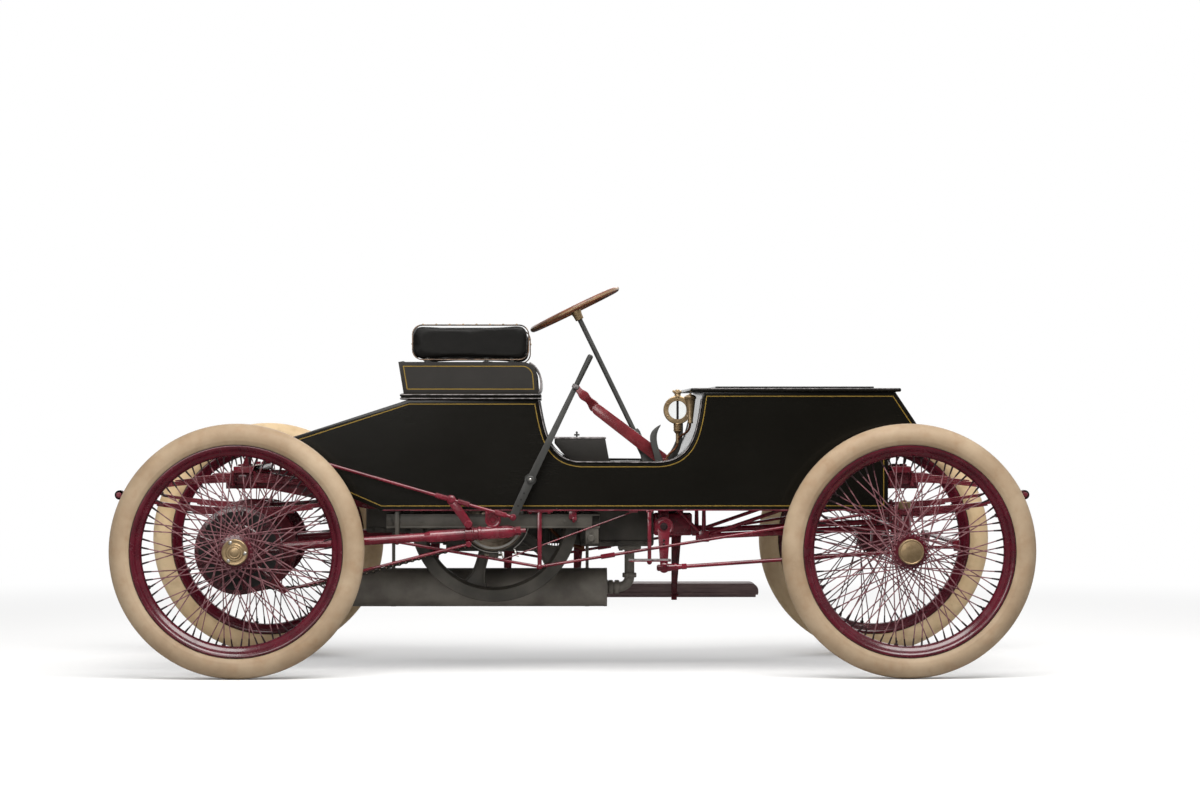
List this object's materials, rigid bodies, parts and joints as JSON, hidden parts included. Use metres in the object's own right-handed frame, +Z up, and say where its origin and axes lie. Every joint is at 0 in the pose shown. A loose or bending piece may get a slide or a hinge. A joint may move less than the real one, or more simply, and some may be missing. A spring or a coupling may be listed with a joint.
{
  "type": "brass era racing car",
  "caption": "Early chain-driven two-seat racing car with boxed wooden body, elliptic springs, wire wheels and a steered front axle.",
  "frame": {"origin": "on the ground, midway between the axles and on the car's centre line", "axes": "+X forward, +Y to the car's left, +Z up"},
  "size_m": [3.394, 1.618, 1.4436],
  "materials": {
    "black_coachwork": "gloss black coach paint with gold pin lines",
    "floor_wood": "worn dark floor boards",
    "seat_black": "satin black painted wood",
    "seat_leather": "black buttoned leather",
    "maroon_paint": "maroon enamel",
    "wheel_maroon": "maroon enamel",
    "dark_iron": "dark grey painted cast iron",
    "worn_steel": "worn bare steel",
    "chain_steel": "oiled dark steel",
    "grey_steel": "dark grey painted steel",
    "wheel_wood": "varnished bent wood with a brass inlay",
    "tyre_cream": "cream natural rubber",
    "board_wood": "maroon brown painted plank",
    "brass": "polished brass"
  },
  "bodies": {
    "root": {"body_side_right": "black_coachwork", "body_side_left": "black_coachwork", "floor_board": "floor_wood", "tail_deck": "black_coachwork", "curved_panels": "black_coachwork", "nose_panel": "black_coachwork", "seat_box": "seat_black", "seat_cushion": "seat_leather", "seat_rail_pad": "seat_leather", "frame_rails": "maroon_paint", "spring_perches": "maroon_paint", "subframe": "dark_iron", "front_springs": "maroon_paint", "rear_springs": "maroon_paint", "engine": "dark_iron", "transmission_drum": "worn_steel", "drive_chain": "chain_steel", "exhaust": "dark_iron", "rear_axle": "maroon_paint", "front_axle": "maroon_paint", "radius_rods": "maroon_paint", "truss_rods": "maroon_paint", "steering_box": "maroon_paint", "brake_lever": "grey_steel", "brake_rod": "maroon_paint", "mounting_step": "maroon_paint", "running_board": "board_wood", "floor_levers": "maroon_paint", "tool_box": "black_coachwork", "oiler": "brass"},
    "knuckle_right": {"knuckle_right": "maroon_paint"},
    "knuckle_left": {"knuckle_left": "maroon_paint"},
    "tie_rod": {"tie_rod": "maroon_paint"},
    "drag_link": {"drag_link": "maroon_paint"},
    "drop_arm": {"drop_arm": "maroon_paint"},
    "steering_wheel": {"steering_wheel": "wheel_wood"},
    "bonnet_lid": {"bonnet_lid": "black_coachwork"},
    "flywheel": {"flywheel": "dark_iron"},
    "wheel_front_right": {"wheel_front_right": "wheel_maroon", "tyre_front_right": "tyre_cream"},
    "wheel_front_left": {"wheel_front_left": "wheel_maroon", "tyre_front_left": "tyre_cream"},
    "wheel_rear_right": {"wheel_rear_right": "wheel_maroon", "tyre_rear_right": "tyre_cream"},
    "wheel_rear_left": {"wheel_rear_left": "wheel_maroon", "tyre_rear_left": "tyre_cream"}
  },
  "joints": [
    {"name": "steer_right", "type": "hinge", "parent": "root", "child": "knuckle_right", "pos_m": [1.219, -0.545, 0.463], "axis": [0, 0, 1], "range_deg": [-24, 24]},
    {"name": "steer_left", "type": "hinge", "parent": "root", "child": "knuckle_left", "pos_m": [1.219, 0.545, 0.463], "axis": [0, 0, 1], "range_deg": [-24.5, 24.5]},
    {"name": "tie_rod_swing", "type": "hinge", "parent": "knuckle_right", "child": "tie_rod", "pos_m": [1.409, -0.545, 0.463], "axis": [0, 0, 1], "range_deg": [-24.5, 24.5]},
    {"name": "drag_link_swing", "type": "hinge", "parent": "knuckle_right", "child": "drag_link", "pos_m": [1.219, -0.435, 0.463], "axis": [0, 0, 1], "range_deg": [-24.5, 24.5]},
    {"name": "drop_arm_swing", "type": "hinge", "parent": "root", "child": "drop_arm", "pos_m": [0.338, -0.416, 0.544], "axis": [0, 1, 0], "range_deg": [-17.5, 17.5]},
    {"name": "steering_wheel_turn", "type": "hinge", "parent": "root", "child": "steering_wheel", "pos_m": [0.01362, -0.22, 1.345], "axis": [-0.4384, 0, 0.8988], "range_deg": [-121, 121]},
    {"name": "bonnet_hinge", "type": "hinge", "parent": "root", "child": "bonnet_lid", "pos_m": [0.8, 0.472, 1.0433], "axis": [-1, 0, 0], "range_deg": [0, 80]},
    {"name": "flywheel_turn", "type": "hinge", "parent": "root", "child": "flywheel", "pos_m": [-0.294, -0.21, 0.572], "axis": [0, 1, 0], "continuous": true},
    {"name": "wheel_turn_front_right", "type": "hinge", "parent": "knuckle_right", "child": "wheel_front_right", "pos_m": [1.219, -0.711, 0.463], "axis": [0, 1, 0], "continuous": true},
    {"name": "wheel_turn_front_left", "type": "hinge", "parent": "knuckle_left", "child": "wheel_front_left", "pos_m": [1.219, 0.711, 0.463], "axis": [0, 1, 0], "continuous": true},
    {"name": "wheel_turn_rear_right", "type": "hinge", "parent": "root", "child": "wheel_rear_right", "pos_m": [-1.219, -0.711, 0.463], "axis": [0, 1, 0], "continuous": true},
    {"name": "wheel_turn_rear_left", "type": "hinge", "parent": "root", "child": "wheel_rear_left", "pos_m": [-1.219, 0.711, 0.463], "axis": [0, 1, 0], "continuous": true}
  ],
  "couplings": [
    {"joint": "steer_left", "follows": "steer_right", "ratio": 1},
    {"joint": "tie_rod_swing", "follows": "steer_right", "ratio": -1},
    {"joint": "drag_link_swing", "follows": "steer_right", "ratio": -1},
    {"joint": "drop_arm_swing", "follows": "steer_right", "ratio": 0.71},
    {"joint": "steering_wheel_turn", "follows": "steer_right", "ratio": 5}
  ]
}
